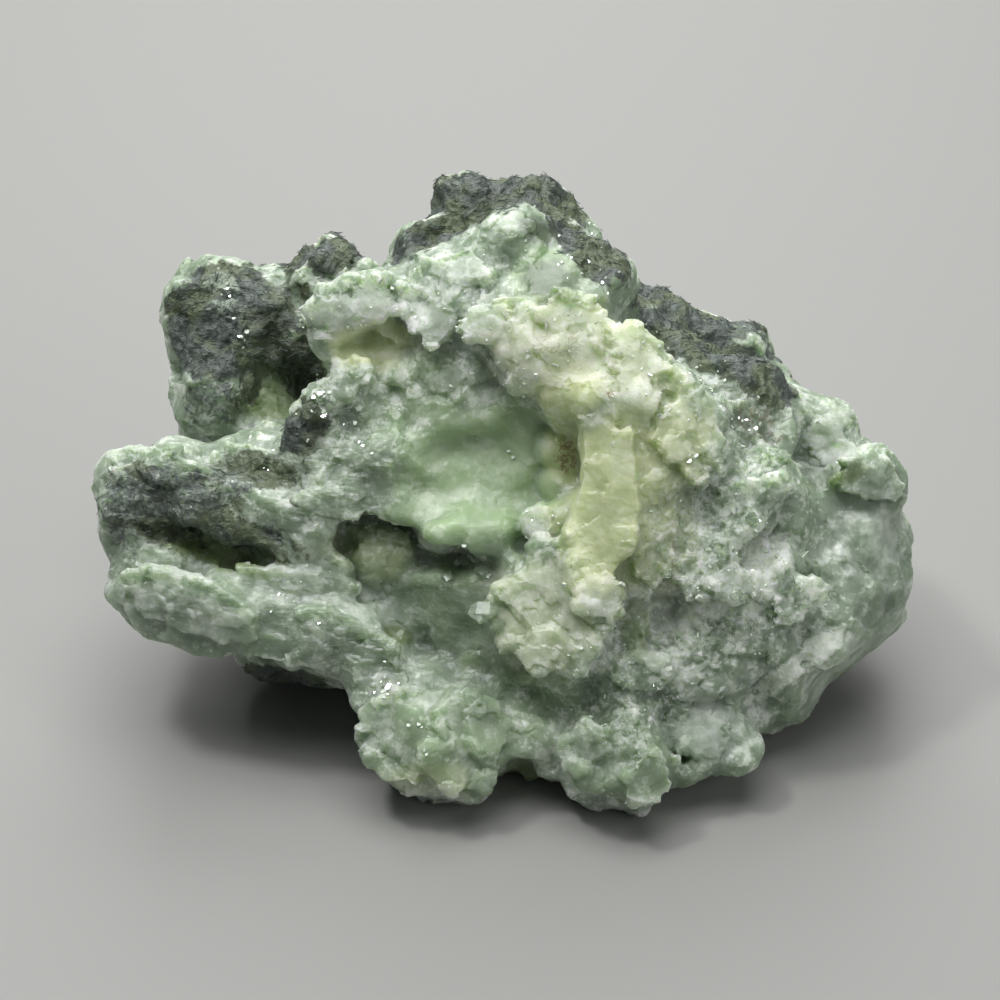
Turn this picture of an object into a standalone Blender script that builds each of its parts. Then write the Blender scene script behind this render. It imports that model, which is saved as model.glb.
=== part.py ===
"""Prehnite with byssolite: one rough hand specimen, 57 mm wide, grown together as a single solid.

The specimen is a broken lump of pale green prehnite. Dark byssolite, a fibrous mineral, grows through
its left arm and its back. It is modelled from rough lumps that overlap, with hollows cut into them.
The lumps are placed on the broken face that the specimen shows, in millimetres:
across runs to the right, up runs up the face and out runs away from it.
The finished solid stands on z = 0, with its origin under the middle of its bounding box.
"""

import math
import random
from collections import namedtuple

import bmesh
import bpy
from mathutils import Euler, Matrix, Vector, noise

NAME = "prehnite_with_byssolite"
MM = 0.001
FACE_LEAN = math.radians(38)
FOOT_BELOW_FACE_MIDDLE = 19.4 * MM
VOXEL = 0.4 * MM
TRIANGLES = 8400
SLAB_SIDE = 200 * MM
SEED = 11

# A lump is a ball with its sides knocked flat, and a shard is a block with its corners knocked off.
# at and size are (across, up, out) in millimetres, and roll is in degrees, turning about out.
# lean and swing turn the form about across and about up before that.
Lump = namedtuple("Lump", "at size roll lean swing", defaults=(0, 0, 0))
Shard = namedtuple("Shard", "at size roll lean swing", defaults=(0, 0, 0))

CREST = [
    Lump((2.0, 12.6, -5.0), (16, 13, 13)),
    Lump((0.2, 16.4, -4.4), (8, 7, 7), 20),
    Lump((-3.6, 11.4, -4.4), (9, 12, 9), 10),
    Shard((-0.6, 14.6, -2.4), (5, 6, 4), 28, 20),
    Lump((-3.4, 7.6, -3.6), (8, 8, 7), 10),
    Shard((4.0, 13.4, -2.4), (6.5, 6, 5), -30, 14),
    Lump((5.4, 8.0, -0.8), (15, 8, 9), -24),
    Lump((6.4, 6.8, 0.2), (10, 6.6, 8), -10),
    Shard((2.2, 10.2, 1.0), (7, 3.0, 4), 12, 25),
    Shard((9.8, 2.6, -0.2), (7, 8, 6), 28, 0, 15),
    Lump((11.6, 3.6, -3.8), (9, 12, 9), 25),
]
PEAK_MAT = [
    Shard((-2.8, 19.8, -8.4), (3.2, 4.6, 5), 12),
    Lump((-1.6, 18.0, -8.6), (8, 5, 7), 12),
    Lump((1.4, 18.8, -10.0), (9, 6.6, 9)),
    Lump((3.8, 16.2, -9.6), (6.6, 7.6, 9), 30),
    Lump((5.8, 12.8, -9.4), (4.6, 8, 9), 22),
    Lump((-5.0, 16.6, -7.6), (6, 4, 8), 35),
]
LEFT_SHOULDER = [
    Shard((-9.6, 12.2, -4.0), (8, 4.6, 7), 22, 15),
    Lump((-7.0, 9.2, -5.2), (9, 7, 8), 18),
    Lump((-10.0, 6.0, -4.6), (10, 4, 8), 8),
    Shard((-11.6, 4.4, -4.2), (7, 5, 7), 34, 10, -12),
    Lump((-9.6, 2.6, -5.2), (13, 8, 10), 16),
    Lump((-15.0, 1.6, -6.6), (9, 7, 9), 24),
]
POOL = [
    Lump((-3.0, 3.6, -5.6), (17, 11, 11)),
    Lump((-2.4, -1.2, -4.6), (13, 6, 8), -8),
    Shard((-1.2, -2.4, -2.2), (9, 3, 6), 2, 14),
    Shard((-8.6, -0.4, -3.4), (9, 2.6, 6), -14, 10),
]
COLUMN = [
    Shard((6.0, -1.0, 0.0), (5.0, 11, 6), -5, 4, 10),
    Shard((9.8, -2.2, -1.6), (4.4, 10, 6), -7, 4, 16),
    Shard((6.2, -7.4, -0.8), (3.6, 3.0, 5), -10),
    Shard((3.0, -8.2, -0.2), (8.4, 6.4, 3.0), -28, 10, -12),
    Shard((2.0, -11.0, -0.8), (5.4, 4.2, 3.0), 24, 6, -10),
    Lump((1.0, -5.8, -2.8), (4.2, 3.6, 5), 10),
    Lump((3.6, -9.0, -3.6), (6, 6, 6)),
]
BLADES = [
    Shard((-2.4, -7.8, -5.4), (5.6, 9, 7), 16, 12, -16),
    Shard((-5.4, -6.8, -5.8), (2.6, 8, 6), 22, 10, -20),
    Lump((-7.6, -9.2, -7.4), (9, 9, 7)),
    Shard((-0.6, -11.8, -5.0), (4.4, 6, 6), 26, 8, -12),
    Shard((-1.4, -7.6, -2.4), (3.2, 1.8, 2.4), -16, 10, -10),
]
LOWER_FACE = [
    Lump((7.4, -12.0, -5.8), (15, 12, 12)),
    Lump((7.6, -17.2, -3.4), (9, 8, 9), -12),
    Shard((7.2, -18.9, -2.6), (6.4, 4.6, 6), -14, -20),
    Lump((-4.8, -16.6, -4.0), (10.5, 8.6, 9), -24),
    Shard((-3.8, -18.3, -3.4), (6.4, 5.2, 6), -14, -20),
    Shard((-8.0, -13.2, -3.6), (6, 4.6, 5), -32, 12),
    Shard((-0.2, -15.2, -5.0), (6.4, 6, 7), 18, 0, 14),
    Shard((13.8, -16.4, -4.8), (6.4, 5.6, 6), 16, -4, 8),
    Lump((1.8, -17.2, -4.8), (9, 5.6, 8)),
]
RIGHT_FLANK = [
    Lump((14.6, -3.4, -4.8), (14, 15, 11), 8),
    Shard((15.0, -9.4, -4.6), (12, 7, 8), 36, 6),
    Shard((19.4, -6.6, -6.6), (11, 9, 9), 40, 0, 20),
    Shard((20.4, -9.0, -8.0), (14, 9.4, 9), 42, -18, 18),
    Lump((17.6, -11.8, -7.5), (13, 9, 9), 40),
    Lump((23.8, -5.0, -9.5), (9.4, 13, 12), -10),
    Shard((22.6, 0.2, -8.6), (9, 4.4, 9), 16, 10),
    Shard((21.4, 4.2, -11.0), (6, 5, 8), -28, 10),
    Lump((15.6, 3.6, -7.8), (11, 11, 12), -30),
    Shard((13.2, 4.6, -5.2), (5, 7, 6), 38, 0, 14),
    Lump((17.6, 0.4, -6.2), (7, 6, 8), 14),
    Lump((12.6, 7.2, -9.4), (8, 8, 10), -35),
]
BACK_RIGHT = [
    Shard((13.8, 10.6, -15.0), (12, 4.6, 9), -14, 14),
    Lump((17.6, 7.6, -15.5), (9, 7, 9), -34),
    Shard((19.2, 5.8, -14.5), (5, 4, 6), -46),
    Lump((17.0, 0.0, -15.0), (15, 14, 12)),
]
TOWER = [
    Lump((-20.2, 12.8, -13.5), (9.2, 7.8, 9)),
    Shard((-22.0, 12.0, -12.5), (4.8, 6.4, 6), 14, 10),
    Shard((-18.0, 11.6, -11.6), (4.6, 5.6, 6), -12, 10, 10),
    Lump((-20.0, 7.2, -13.0), (9.4, 10, 9), 12),
    Shard((-16.2, 14.0, -14.0), (6, 4.6, 7), 10),
    Lump((-14.0, 9.2, -13.5), (9, 9, 9)),
    Shard((-12.2, 15.4, -12.0), (5.4, 4.6, 6), 42, 12),
]
LEFT_ARM = [
    Lump((-23.8, 0.2, -7.4), (9.4, 7, 9)),
    Shard((-25.0, -1.4, -5.8), (6, 5.0, 6), 10, 12),
    Lump((-18.0, -0.6, -8.0), (11, 8.5, 10), -12),
    Shard((-19.4, -0.6, -4.8), (9, 4.4, 6), -16, 10, 8),
    Shard((-15.2, -2.2, -4.8), (9, 4.6, 6), -22, 8, -8),
    Lump((-21.6, -4.6, -8.4), (10, 8, 7), -12),
    Shard((-24.2, -5.4, -6.2), (5.4, 5.4, 6), -20, 10),
    Shard((-21.8, -8.0, -5.0), (9, 5.0, 7), -16, 12, -8),
    Shard((-16.8, -8.6, -4.6), (10, 5.0, 7), -20, 8, 6),
    Shard((-12.0, -8.4, -4.2), (9, 3.8, 6), -26, 12, -6),
    Shard((-10.6, -10.8, -4.2), (9, 4.2, 6), -24, 10, 8),
    Lump((-13.0, -5.6, -7.0), (12, 6, 8), -10),
    Shard((-13.4, -4.8, -4.4), (5.6, 2.8, 5), -18, 10, 10),
    Lump((-13.0, -10.6, -10.5), (11, 6, 9), -8),
    Lump((-15.0, -11.6, -11.4), (8, 4.4, 6.4), -6),
]
HEART = [
    Lump((3.0, -2.0, -12.5), (36, 22, 19)),
    Lump((-9.0, 1.0, -14.0), (22, 20, 17)),
    Lump((6.0, 8.0, -14.0), (18, 16, 14)),
    Lump((6.0, -10.4, -9.4), (20, 11, 12)),
    Lump((2.5, -6.6, -14.8), (18, 13, 13)),
    Lump((-3.0, 0.6, -18.6), (22, 17, 12), 20),
    Lump((11.0, 1.0, -19.0), (16, 16, 11), -15),
]
BACK = [
    Shard((-8.0, 4.0, -21.0), (9, 8, 7), 20, 15),
    Shard((-1.0, 6.5, -20.4), (8, 9, 7), -25, 10, 20),
    Shard((6.5, 5.0, -21.6), (9, 7, 7), 35, -10),
    Shard((13.5, 2.5, -21.4), (8, 9, 7), -12, 12),
    Shard((-4.0, -0.5, -23.4), (9, 8, 6), 10, -12),
    Shard((4.0, 0.5, -23.8), (8, 7, 6), 40, 8),
    Shard((11.0, -2.0, -21.2), (8, 8, 6), -30, -10),
    Shard((-12.0, -1.0, -19.4), (8, 8, 7), -20, 0, 15),
    Shard((20.0, -3.0, -17.5), (7, 9, 8), 10, 0, -20),
    Shard((3.0, 12.0, -17.5), (9, 6, 7), 15, 15),
    Shard((-8.0, 9.6, -17.6), (8, 7, 7), -15, 10),
    Lump((1.5, 13.5, -14.5), (12, 9, 8)),
    Shard((11.0, 9.0, -18.5), (8, 6, 6), 32, 18),
]
HOLLOWS = [
    Lump((-1.6, 1.8, 3.2), (11, 7.4, 12), 18),
    Lump((1.6, -0.2, 3.0), (6, 4.6, 10), -10),
    Lump((3.8, 2.0, 0.8), (2.6, 5, 7.6), 14),
    Lump((-8.4, -4.0, -0.4), (6.4, 4.4, 10), -16),
    Lump((-4.6, -4.6, -0.8), (6, 2.6, 8), -4),
    Lump((1.6, -3.6, 0.6), (4, 2.2, 6), 12),
    Lump((-7.2, -9.7, -1.8), (2.8, 1.6, 4.6), -10),
    Lump((-9.2, 10.0, 0.0), (6.0, 2.2, 6), 14),
    Lump((-14.6, 6.6, -7.6), (5.4, 7, 9), 30),
    Lump((-20.4, -4.0, -2.4), (12, 2.2, 6), -22),
    Lump((-13.8, -6.6, -1.4), (7, 1.6, 5), -24),
    Lump((20.8, 2.0, -4.6), (5.0, 1.8, 8), 14),
    Lump((10.8, -8.8, 0.6), (3.4, 6, 6), -18),
    Lump((2.4, 17.0, -5.0), (3.0, 2.6, 8), 30),
    Lump((-4.0, 17.9, -4.2), (7.6, 1.6, 5), 26),
    Lump((4.6, 15.9, -4.6), (8.8, 1.6, 5), -38),
    Lump((1.2, -19.8, -2.6), (3.0, 4.0, 7)),
    Lump((11.6, -17.2, -2.4), (1.6, 5, 6), 16),
    Lump((17.6, -3.6, -0.6), (7, 3.0, 4), 46),
]

# The ball that each form is cut from, and how far from its middle the flats are, as shares of its size.
LUMP_BALL, LUMP_FLATS, LUMP_REACH = 0.54, 16, (0.38, 0.5)
SHARD_BALL, SHARD_FLATS, SHARD_REACH = 0.78, 5, (0.5, 0.6)
SHARD_SIDE, SHARD_TILT = (0.42, 0.5), 0.16

# Facets: each cell of the cracked surface is tipped its own way. Cell width and step height, in millimetres.
FACET_WIDTH, FACET_STEP = 3.0, 0.8
CHIP_WIDTH, CHIP_STEP = 1.5, 0.4
MINT = (0.42, 0.52, 0.36, 1.0)


def clear_scene():
    for obj in list(bpy.data.objects):
        bpy.data.objects.remove(obj)


def face_frame():
    """The broken face's own axes as a matrix: across, up the face, and out of it."""
    up = Vector((0, math.sin(FACE_LEAN), math.cos(FACE_LEAN)))
    out = Vector((0, -math.cos(FACE_LEAN), math.sin(FACE_LEAN)))
    return Matrix((Vector((1, 0, 0)), up, out)).transposed().to_4x4()


def random_direction(rng):
    return Vector([rng.gauss(0, 1) for _ in range(3)]).normalized()


def lump_flats(rng):
    """The planes that knock a lump flat, as (direction, distance)."""
    return [(random_direction(rng), rng.uniform(*LUMP_REACH)) for _ in range(LUMP_FLATS)]


def shard_flats(rng):
    """The six sides of a shard, a little askew, and the planes that take its corners off."""
    flats = []
    for axis in ((1, 0, 0), (0, 1, 0), (0, 0, 1)):
        for side in (-1, 1):
            direction = (Vector(axis) * side + random_direction(rng) * SHARD_TILT).normalized()
            flats.append((direction, rng.uniform(*SHARD_SIDE)))
    return flats + [(random_direction(rng), rng.uniform(*SHARD_REACH)) for _ in range(SHARD_FLATS)]


def add_form(bm, form):
    """One lump or shard, on the face."""
    rng = random.Random(f"{SEED} {form.size}")
    turn = Euler([math.radians(angle) for angle in (form.lean, form.swing, form.roll)])
    place = (
        face_frame()
        @ Matrix.Translation(Vector(form.at) * MM)
        @ turn.to_matrix().to_4x4()
        @ Matrix.Diagonal((*(Vector(form.size) * MM), 1))
    )
    is_shard = isinstance(form, Shard)
    flats = shard_flats(rng) if is_shard else lump_flats(rng)
    radius = SHARD_BALL if is_shard else LUMP_BALL
    ball = bmesh.ops.create_icosphere(bm, subdivisions=4, radius=radius)
    for vert in ball["verts"]:
        for direction, distance in flats:
            vert.co -= direction * max(0.0, vert.co.dot(direction) - distance)
        vert.co = place @ vert.co


def forms_object(name, forms, collection):
    bm = bmesh.new()
    for form in forms:
        add_form(bm, form)
    mesh = bpy.data.meshes.new(name)
    bm.to_mesh(mesh)
    bm.free()
    obj = bpy.data.objects.new(name, mesh)
    collection.objects.link(obj)
    return obj


def add_remesh(obj, voxel):
    modifier = obj.modifiers.new("grown together", "REMESH")
    modifier.mode = "VOXEL"
    modifier.voxel_size = voxel


def add_cut(obj, cutter):
    modifier = obj.modifiers.new("cut", "BOOLEAN")
    modifier.operation = "DIFFERENCE"
    modifier.object = cutter


def apply_modifiers(obj):
    graph = bpy.context.evaluated_depsgraph_get()
    mesh = bpy.data.meshes.new_from_object(obj.evaluated_get(graph))
    obj.modifiers.clear()
    obj.data = mesh


def facet_height(point, width, step):
    """Height of a cracked surface in millimetres: flat cells, each tipped its own way."""
    centre = noise.voronoi(point / width)[1][0]
    tip = noise.cell_vector(centre * 7.3) - Vector((0.5, 0.5, 0.5))
    return step * tip.dot(point / width - centre) + 0.5 * step * noise.noise(centre * 3.1)


def crack_surface(obj):
    """Moves each point in or out, so that the smooth lumps break into flat facets."""
    bm = bmesh.new()
    bm.from_mesh(obj.data)
    bm.normal_update()
    moves = []
    for vert in bm.verts:
        point = vert.co / MM
        height = facet_height(point, FACET_WIDTH, FACET_STEP)
        height += facet_height(point + Vector((9, 4, 2)), CHIP_WIDTH, CHIP_STEP)
        height += 0.25 * noise.noise(point * 0.35)
        moves.append(vert.normal * height * MM)
    for vert, move in zip(bm.verts, moves):
        vert.co += move
    bm.to_mesh(obj.data)
    bm.free()


def foot_cutter(collection):
    """A slab whose top is where the specimen rests."""
    bpy.ops.mesh.primitive_cube_add(size=SLAB_SIDE)
    slab = bpy.context.object
    slab.name = "foot_cutter"
    slab.location.z = -FOOT_BELOW_FACE_MIDDLE - SLAB_SIDE / 2
    for other in slab.users_collection:
        other.objects.unlink(slab)
    collection.objects.link(slab)
    return slab


def settle(obj):
    """Moves the specimen to stand on z = 0 over the origin."""
    lows = Vector([min(vert.co[axis] for vert in obj.data.vertices) for axis in range(3)])
    highs = Vector([max(vert.co[axis] for vert in obj.data.vertices) for axis in range(3)])
    middle = (lows + highs) / 2
    obj.data.transform(Matrix.Translation((-middle.x, -middle.y, -lows.z)))


def prehnite_material():
    material = bpy.data.materials.new("prehnite")
    material.use_nodes = True
    surface = material.node_tree.nodes["Principled BSDF"]
    surface.inputs["Base Color"].default_value = MINT
    surface.inputs["Roughness"].default_value = 0.45
    surface.inputs["Metallic"].default_value = 0.0
    return material


def helper(obj):
    obj.hide_render = True
    obj.display_type = "WIRE"
    return obj


def main():
    clear_scene()
    parts = bpy.data.collections.new(NAME)
    cutters = bpy.data.collections.new("cutters")
    for collection in (parts, cutters):
        bpy.context.scene.collection.children.link(collection)

    forms = CREST + PEAK_MAT + LEFT_SHOULDER + POOL + COLUMN + BLADES + LOWER_FACE
    forms += RIGHT_FLANK + BACK_RIGHT + TOWER + LEFT_ARM + HEART + BACK
    specimen = forms_object(NAME, forms, parts)
    hollows = helper(forms_object("hollow_cutter", HOLLOWS, cutters))
    add_remesh(specimen, VOXEL)
    add_remesh(hollows, VOXEL)
    add_cut(specimen, hollows)
    apply_modifiers(specimen)

    crack_surface(specimen)
    add_remesh(specimen, VOXEL)
    apply_modifiers(specimen)
    thin = specimen.modifiers.new("fewer faces", "DECIMATE")
    thin.ratio = TRIANGLES / sum(len(face.vertices) - 2 for face in specimen.data.polygons)
    add_cut(specimen, helper(foot_cutter(cutters)))
    apply_modifiers(specimen)

    settle(specimen)
    specimen.data.materials.append(prehnite_material())


main()
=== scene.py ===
"""The looks of a rough specimen of prehnite with byssolite, dressed over its solid.

The solid gets a dense skin with facets, crust, ledges, grain and fibres worked into its shape.
Crumbs, crystals and needles are pieces of their own that sit on the skin.
Places are named by the pixel of the 1000 x 1000 photograph where they show, and found on the skin by a ray.
"""

import math
import random
from collections import namedtuple

import bmesh
import bpy
import numpy as np
from mathutils import Euler, Matrix, Vector, noise
from mathutils.bvhtree import BVHTree


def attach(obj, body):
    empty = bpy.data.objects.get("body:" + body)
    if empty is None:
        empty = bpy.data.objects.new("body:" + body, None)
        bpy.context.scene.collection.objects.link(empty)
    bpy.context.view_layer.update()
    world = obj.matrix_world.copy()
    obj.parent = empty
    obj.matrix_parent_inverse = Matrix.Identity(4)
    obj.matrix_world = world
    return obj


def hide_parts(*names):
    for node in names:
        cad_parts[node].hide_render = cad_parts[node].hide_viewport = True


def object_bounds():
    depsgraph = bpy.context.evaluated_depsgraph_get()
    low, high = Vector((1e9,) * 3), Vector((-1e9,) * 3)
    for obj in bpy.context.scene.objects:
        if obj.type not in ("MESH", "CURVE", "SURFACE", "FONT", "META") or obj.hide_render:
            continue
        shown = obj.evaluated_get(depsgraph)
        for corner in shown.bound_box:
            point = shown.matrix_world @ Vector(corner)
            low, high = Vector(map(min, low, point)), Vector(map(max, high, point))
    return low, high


MM = 0.001
NODE = "prehnite_with_byssolite"

# The skin's height off the floor, how far it may go past the solid's box, and the lowest place of a crumb.
FLOOR_GAP = 0.02 * MM
PROUD = 0.45 * MM
CRUMB_CLEARANCE = 0.8 * MM

# The broken face that the photograph looks straight at: how far it leans back, and its middle.
FACE_LEAN = math.radians(38)
FACE_MIDDLE = Vector((-0.121, -5.881, 19.4)) * MM
FACE_UP = Vector((0, math.sin(FACE_LEAN), math.cos(FACE_LEAN)))
FACE_OUT = Vector((0, -math.cos(FACE_LEAN), math.sin(FACE_LEAN)))
FACE = Matrix((Vector((1, 0, 0)), FACE_UP, FACE_OUT)).transposed()

# The photograph: 15 pixels to a millimetre at the face, and the face's middle at this pixel.
PIXELS, PIXELS_PER_MM = 1000, 15.0
MIDDLE_PIXEL = (505, 490)
LENS, SENSOR = 100, 36
CAMERA_DISTANCE = LENS * PIXELS / PIXELS_PER_MM / SENSOR * MM

# The skin: the mesh sizes of its body and of itself, the rounds each is worn, and the triangles it keeps.
BODY_VOXEL, BODY_WEAR = 0.4 * MM, 8
SKIN_VOXEL, SKIN_WEAR = 0.18 * MM, 2
SKIN_TRIANGLES = 196_000

# A patch is an oval on the photographed face: pixel, size in pixels, turn in degrees and strength.
Patch = namedtuple("Patch", "pixel size turn strength", defaults=(0, 1))
# A far patch is a round body on the unseen sides: place on the face and size in millimetres, and strength.
Far = namedtuple("Far", "at size strength", defaults=(1,))
# A patch fades out between these shares of its half size.
SOFT_RIM = (0.7, 1.3)

# What covers what, and where shade is painted: each layer's patches.
LAYERS = {
    "crust": [
        Patch((505, 222), (60, 44), 0, 0.5),
        Patch((450, 300), (110, 130), 20, 0.55),
        Patch((520, 322), (170, 44), 6),
        Patch((545, 362), (140, 70)),
        Patch((622, 372), (150, 84), -28, 0.9),
        Patch((362, 308), (120, 64), 12, 0.9),
        Patch((690, 432), (76, 100), 20, 0.45),
        Patch((552, 612), (130, 130), 20, 0.5),
        Patch((600, 598), (52, 44)),
        Patch((545, 525), (56, 38)),
        Patch((748, 566), (110, 84), 20, 0.95),
        Patch((690, 640), (150, 130), 0, 0.6),
        Patch((840, 440), (90, 66), -20, 0.8),
        Patch((388, 690), (50, 44), 0, 0.7),
        Patch((618, 800), (110, 34), -10, 0.5),
        Patch((440, 792), (90, 30), 0, 0.7),
        Patch((707, 728), (76, 54), 12, 0.4),
        Patch((222, 296), (44, 60), 20),
        Patch((200, 600), (210, 60), -18, 0.34),
        Patch((320, 590), (190, 44), -10, 0.36),
        Patch((132, 462), (76, 44), 0, 0.5),
        Patch((400, 532), (150, 22), -16, 0.7),
        Patch((338, 388), (60, 50), 20, 0.5),
        Patch((430, 375), (90, 60), 0, 0.45),
        Patch((796, 668), (150, 26), 37, 0.9),
        Patch((460, 730), (90, 60), 0, 0.35),
        Far((12, 8, -20), (12, 9, 8), 0.7),
        Far((-8, 4, -22), (12, 9, 8), 0.6),
        Far((4, -4, -24), (14, 8, 8), 0.6),
        Far((24, -8, -14), (8, 9, 9), 0.6),
    ],
    "lemon": [
        Patch((566, 388), (90, 70)),
        Patch((585, 352), (190, 110), -10, 0.7),
        Patch((610, 500), (120, 200), -6),
        Patch((655, 440), (120, 130), 0, 0.75),
        Patch((545, 615), (120, 120), 0, 0.45),
        Patch((372, 345), (100, 50), 8),
        Patch((660, 530), (70, 140), 0, 0.65),
        Patch((566, 454), (40, 76), 10),
        Patch((430, 780), (90, 40), 0, 0.4),
        Patch((375, 550), (90, 50), -12, 0.35),
        Far((10, 4, -22), (14, 12, 9), 0.5),
    ],
    "mint": [
        Patch((490, 470), (190, 150), 10),
        Patch((548, 275), (76, 70), 0, 0.9),
        Patch((450, 522), (140, 60), -8, 0.8),
        Patch((440, 745), (150, 110), -10, 0.45),
        Patch((618, 762), (130, 90), -10, 0.5),
        Patch((455, 610), (80, 110), 16, 0.6),
        Patch((420, 400), (110, 110), 0, 0.5),
        Patch((540, 700), (120, 110), 0, 0.5),
        Far((-6, 2, -22), (16, 12, 9), 0.7),
        Far((16, -6, -16), (14, 12, 9), 0.5),
    ],
    # Painted shade: olive darkening in recesses, holes, pits, notches and under ledges, where shade falls.
    "recess_shade": [
        Patch((372, 548), (104, 66), -12, 0.4),
        Patch((470, 572), (70, 30), 0, 0.35),
        Patch((396, 636), (34, 20), -10),
        Patch((568, 456), (32, 70), 10, 0.4),
        Patch((636, 628), (34, 60), 10, 0.6),
        Patch((834, 476), (60, 24), 14),
        Patch((300, 362), (60, 96), 20),
        Patch((200, 546), (170, 30), -20),
        Patch((538, 232), (34, 18), -20),
        Patch((524, 772), (50, 30), 0, 0.8),
        Patch((552, 282), (60, 60), 0, 0.4),
        Patch((640, 560), (50, 50), 0, 0.4),
        Patch((500, 660), (90, 40), 0, 0.35),
        Patch((270, 400), (60, 50), 20, 0.9),
    ],
    "shade": [
        Patch((552, 281), (62, 54), 0, 0.95),
        Patch((470, 682), (110, 80), 0, 0.35),
        Patch((735, 408), (110, 60), -34, 0.3),
        Patch((538, 232), (44, 26), -20),
        Patch((830, 472), (70, 34), 14),
        Patch((620, 760), (120, 90), 0, 0.45),
        Patch((706, 728), (100, 70), 10, 0.45),
        Patch((500, 200), (70, 40), 0, 0.6),
        Patch((890, 540), (80, 150), 0, 0.25),
        Patch((280, 345), (50, 70), 20),
        Patch((460, 620), (120, 130), 0, 0.4),
    ],
    "slate": [
        Patch((500, 196), (210, 66)),
        Patch((302, 258), (60, 40), 0, 0.8),
        Patch((350, 240), (60, 40), 0, 0.9),
        Patch((300, 365), (50, 90), 20),
        Patch((690, 312), (150, 44), -20),
        Patch((430, 240), (90, 40), 34),
        Patch((590, 240), (70, 120), 30),
        Patch((232, 320), (150, 150), 10),
        Patch((210, 400), (80, 60), 0, 0.5),
        Patch((335, 250), (80, 50), 30, 0.9),
        Patch((292, 430), (70, 54), 20, 0.9),
        Patch((160, 505), (170, 100), -10, 0.6),
        Patch((255, 470), (110, 50), 0, 0.55),
        Patch((230, 535), (150, 44), -16, 0.6),
        Patch((712, 350), (190, 70), -34),
        Patch((742, 408), (130, 96), -34, 0.35),
        Patch((285, 678), (100, 36), 0, 0.9),
        Far((-20, 10, -18), (12, 16, 12)),
        Far((2, 18, -14), (16, 10, 9)),
        Far((14, 9, -16), (16, 8, 8), 0.9),
        Far((-24, -2, -11), (12, 10, 6), 0.8),
        Far((-14, -8, -14), (14, 9, 9), 0.7),
        Far((2, -12, -18), (12, 6, 7), 0.6),
    ],
    "sugar": [
        Patch((718, 570), (180, 220)),
        Patch((730, 470), (130, 90), 0, 0.9),
        Patch((735, 408), (120, 80), -34, 0.9),
        Patch((630, 690), (190, 140), 0, 0.8),
        Patch((758, 630), (130, 80), 36, 0.7),
        Patch((330, 440), (150, 130), 0, 0.5),
        Far((8, 0, -22), (18, 16, 8), 0.7),
    ],
    "plates": [
        Patch((180, 590), (200, 70), -14, 0.5),
        Patch((320, 615), (190, 80), -20, 0.6),
        Patch((160, 500), (170, 90), -12, 0.6),
        Patch((310, 460), (150, 110), 20, 0.7),
        Patch((455, 600), (110, 130), 16, 0.6),
        Patch((350, 640), (140, 60), -28, 0.6),
        Patch((606, 505), (80, 180), -6, 0.25),
    ],
    "smooth": [
        Patch((490, 470), (170, 130), 10),
        Patch((548, 275), (60, 60), 0, 0.9),
        Patch((852, 662), (150, 110), 37, 0.95),
        Patch((880, 540), (70, 130), 0, 0.7),
        Patch((612, 505), (110, 180), 0, 0.8),
        Patch((430, 740), (150, 120), -10, 0.55),
        Patch((610, 760), (130, 90), 0, 0.5),
        Patch((552, 612), (130, 130), 20, 0.6),
        Patch((465, 610), (100, 130), 0, 0.95),
        Patch((446, 524), (150, 60), -8, 0.9),
        Patch((200, 600), (230, 90), -18, 0.85),
        Patch((330, 590), (220, 70), -14, 0.8),
        Patch((706, 728), (90, 60), 10, 0.7),
        Patch((746, 492), (80, 30), -14, 0.8),
        Patch((580, 370), (170, 90), -10, 0.5),
        Patch((375, 350), (100, 50), 8, 0.7),
        Patch((670, 430), (90, 110), 0, 0.4),
        Patch((340, 470), (150, 80), 0, 0.45),
    ],
    "rust": [
        Patch((611, 395), (12, 8)),
        Patch((568, 456), (24, 36)),
        Patch((762, 424), (60, 40), -30, 0.6),
        Patch((560, 345), (60, 20), 0, 0.4),
    ],
}

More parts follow.
